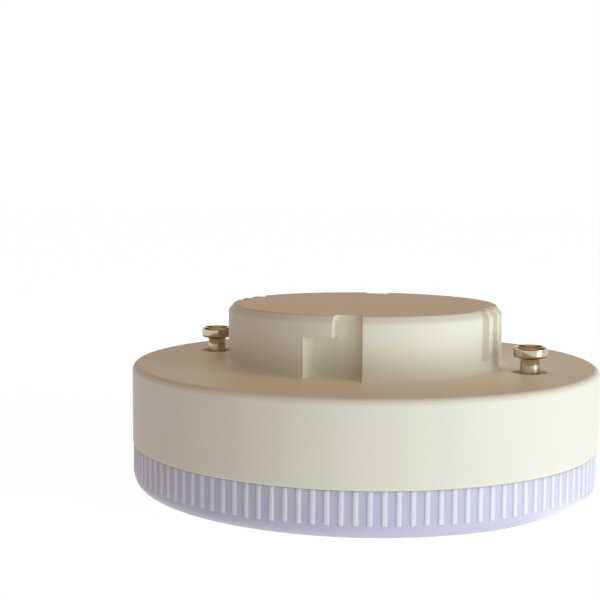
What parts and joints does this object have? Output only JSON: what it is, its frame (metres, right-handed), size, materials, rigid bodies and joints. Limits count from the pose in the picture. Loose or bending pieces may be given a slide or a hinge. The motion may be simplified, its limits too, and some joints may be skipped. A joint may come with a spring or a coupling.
{
  "type": "led disc lamp",
  "caption": "Flat round lamp with an opal ribbed diffuser, a cream housing and a bayonet base boss with contact pins, lying face down.",
  "frame": {"origin": "centre of the flat middle of the diffuser's face, on which the lamp rests", "axes": "+Z along the lamp's axis, out of the base; the two contact pins stand on the X axis, at +X and -X"},
  "size_m": [0.072, 0.072, 0.0285],
  "materials": {
    "housing_plastic": "cream white satin moulding",
    "opal_plastic": "frosted opal white",
    "nickel": "brass with bright nickel plating",
    "tinned_brass": "tinned",
    "pressed_aluminium": "satin",
    "board_white": "white solder resist on an aluminium core",
    "led_yellow": "phosphor yellow",
    "steel_screw": "zinc plated",
    "clear_sheet": "milky film",
    "board_green": "green solder resist",
    "can_sleeve": "dark shrink sleeve",
    "film_case": "dipped red-brown",
    "ferrite": "ground ferrite",
    "bobbin_plastic": "black moulding",
    "enamelled_wire": "enamelled copper",
    "blue_coating": "dipped blue",
    "resistor_coating": "painted green",
    "black_epoxy": "black epoxy",
    "chip_ceramic": "ceramic",
    "brown_insulation": "brown insulation",
    "blue_insulation": "blue insulation",
    "red_insulation": "red insulation",
    "black_insulation": "black insulation"
  },
  "bodies": {
    "root": {"base_housing": "housing_plastic", "contact_pins": "nickel", "terminal_tags": "tinned_brass", "diffuser": "opal_plastic", "heat_sink_cup": "pressed_aluminium", "led_board": "board_white", "led_chips": "led_yellow", "led_board_screws": "steel_screw", "insulating_sheet": "clear_sheet", "driver_board": "board_green", "driver_screws": "steel_screw", "input_capacitor": "can_sleeve", "output_capacitor": "can_sleeve", "film_capacitor": "film_case", "transformer_core": "ferrite", "transformer_bobbin": "bobbin_plastic", "transformer_winding": "enamelled_wire", "choke_core": "ferrite", "choke_winding": "enamelled_wire", "varistor": "blue_coating", "fusible_resistor": "resistor_coating", "output_diode": "black_epoxy", "bridge_rectifier": "black_epoxy", "driver_chip": "black_epoxy", "chip_resistors": "black_epoxy", "chip_capacitors": "chip_ceramic", "live_wire": "brown_insulation", "neutral_wire": "blue_insulation", "led_wire_positive": "red_insulation", "led_wire_negative": "black_insulation"}
  },
  "joints": []
}
